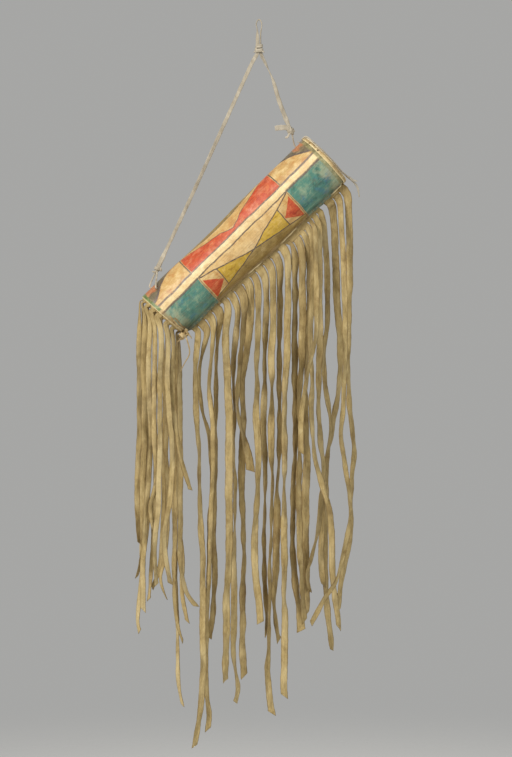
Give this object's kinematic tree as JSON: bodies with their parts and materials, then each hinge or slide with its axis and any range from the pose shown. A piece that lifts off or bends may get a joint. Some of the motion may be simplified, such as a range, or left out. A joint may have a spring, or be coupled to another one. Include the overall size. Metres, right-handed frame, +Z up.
{
  "type": "parfleche case",
  "caption": "Painted rawhide cylinder case with a lid at one end, hung aslant from a hide thong, with very long hide fringes.",
  "frame": {"origin": "the underside of the strap's top loop, where the peg bears", "axes": "+Z up as it hangs, +X towards the lid end, +Y away from the viewer of the painted front"},
  "size_m": [0.381, 0.1072, 1.253],
  "materials": {
    "painted_rawhide": "cream rawhide painted in red, green, ochre and dark lines, softly glossy",
    "pale_rawhide": "unpainted pale rawhide",
    "brown_rawhide": "unpainted brown rawhide",
    "fringe_hide": "soft khaki tan hide, matt",
    "strap_hide": "greyish tan hide thong, matt"
  },
  "bodies": {
    "case": {"case_tube": "painted_rawhide", "base_disc": "brown_rawhide", "base_fringe": "fringe_hide", "seam_fringe": "fringe_hide", "mouth_fringe": "fringe_hide", "strap": "strap_hide", "strap_binding": "strap_hide", "fork_thong": "strap_hide", "right_thong": "strap_hide", "hinge_thong": "strap_hide", "base_tie": "strap_hide"},
    "lid": {"lid_cap": "pale_rawhide", "lid_thong": "strap_hide"}
  },
  "joints": [
    {"name": "lid_hinge", "type": "hinge", "parent": "case", "child": "lid", "pos_m": [0.07206, 0, -0.20582], "axis": [0, -1, 0], "range_deg": [0, 90]}
  ]
}
